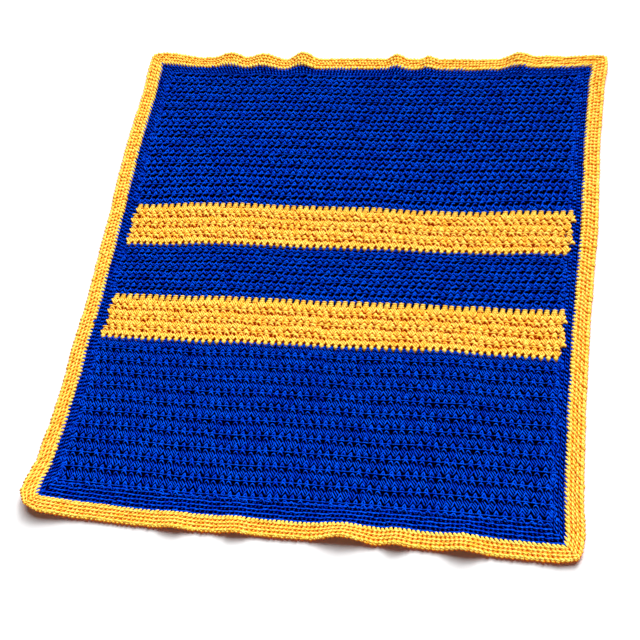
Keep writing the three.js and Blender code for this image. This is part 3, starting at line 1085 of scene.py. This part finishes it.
def make_light():
    """Soft light: a little from all round, and a broad and a narrower lamp above the far side."""
    world = bpy.data.worlds.new("studio")
    world.use_nodes = True
    sky = world.node_tree.nodes["Background"]
    sky.inputs["Color"].default_value = (1.0, 1.0, 1.0, 1.0)
    sky.inputs["Strength"].default_value = SKY_STRENGTH
    bpy.context.scene.world = world
    bpy.context.scene.view_settings.view_transform = "Standard"
    for name, strength, spread, tilt, turn in LAMPS:
        lamp = bpy.data.lights.new(name, "SUN")
        lamp.energy = strength
        lamp.angle = math.radians(spread)
        light = bpy.data.objects.new(name, lamp)
        leaning = Matrix.Rotation(math.radians(tilt), 4, "X")
        light.matrix_world = Matrix.Rotation(math.radians(turn), 4, "Z") @ leaning
        bpy.context.scene.collection.objects.link(light)


def make_camera():
    """The camera at the photograph's view."""
    lens = bpy.data.cameras.new("camera")
    lens.lens = CAMERA_LENS
    lens.sensor_width = CAMERA_SENSOR
    camera = bpy.data.objects.new("camera", lens)
    turn = Matrix((
        CAMERA_RIGHT,
        tuple(-value for value in CAMERA_DOWN),
        tuple(-value for value in CAMERA_FORWARD),
    )).transposed()
    camera.matrix_world = Matrix.Translation(CAMERA_PLACE) @ turn.to_4x4()
    bpy.context.scene.collection.objects.link(camera)
    bpy.context.scene.camera = camera


def make_stitches():
    """A small mesh for each kind of stitch in each set.

    A kind has its strands, its size, the height at which it counts as a crest, and the sides of its strands.
    """
    field = (PITCH, RIDGE)
    fine = (ROUND_PITCH, ROUND_HEIGHT)
    rows = {
        "front": (FRONT_STRANDS, field, 7.6, STRAND_SIDES),
        "back": (BACK_STRANDS, field, 7.0, STRAND_SIDES),
        "bar": (BAR_STRANDS, field, 6.4, STRAND_SIDES),
        "peak": (PEAK_STRANDS, field, 6.9, STRAND_SIDES),
    }
    far_rows = {
        **rows,
        "front": (FAR_FRONT_STRANDS, field, 7.6, STRAND_SIDES),
        "back": (FAR_BACK_STRANDS, field, 7.0, STRAND_SIDES),
    }
    below_gold = {"tall_peak": (TALL_PEAK_STRANDS, field, 6.5, STRAND_SIDES)}
    above_gold = {"notch": (NOTCH_STRANDS, field, 7.0, STRAND_SIDES)}
    beside_blue = {
        "drop": (DROP_STRANDS, field, 7.0, ROUND_STRAND_SIDES),
        "top": (TOP_STRANDS, field, 6.5, STRAND_SIDES),
    }
    edging = {
        "edging": (EDGING_STRANDS, fine, 7.0, ROUND_STRAND_SIDES),
        "side_edging": (SIDE_EDGING_STRANDS, fine, 7.4, ROUND_STRAND_SIDES),
    }
    border = {
        "border": (BORDER_STRANDS, fine, 7.3, ROUND_STRAND_SIDES),
        "tooth": (TOOTH_STRANDS, fine, 6.0, ROUND_STRAND_SIDES),
        "rope": (ROPE_STRANDS, fine, 5.5, ROUND_STRAND_SIDES),
    }
    sets = {
        "blue": {**rows, **below_gold, **edging},
        "far_blue": {**far_rows, **below_gold, **above_gold},
        "gold": {**rows, **beside_blue, **border},
    }
    return {
        name: {kind: stitch(f"{name}_{kind}", *made_of, PLUMP[name]) for kind, made_of in kinds.items()}
        for name, kinds in sets.items()
    }


def make_blanket():
    """Every piece of the blanket, from small stitches that are removed again at the end."""
    yarns = make_yarns()
    tree = stitch_rows_tree()
    stitches = make_stitches()
    make_panels(tree, stitches, yarns)
    edging_outer = rectangle(BORDER, BORDER, BORDER)
    edging_inner = rectangle(FIELD_NEAR, BORDER + EDGING_SIDE, BORDER + EDGING_FAR)
    edging_worked = rectangle(FIELD_NEAR, BORDER + EDGING_SIDE + EDGING_OVER_ENDS, BORDER + EDGING_FAR)
    make_rounds(
        tree, stitches, yarns, "blue_edging", "blue", edging_outer, edging_inner, edging_worked, EDGING_ROUNDS
    )
    border_outer = rectangle(0, 0, 0)
    border_rounds = dict.fromkeys(SIDES, BORDER_ROUNDS)
    make_rounds(
        tree, stitches, yarns, "gold_border", "gold", border_outer, edging_outer, edging_outer, border_rounds
    )
    for kinds in stitches.values():
        for piece in kinds.values():
            bpy.data.objects.remove(piece)


make_camera()
make_light()
make_floor()
make_blanket()
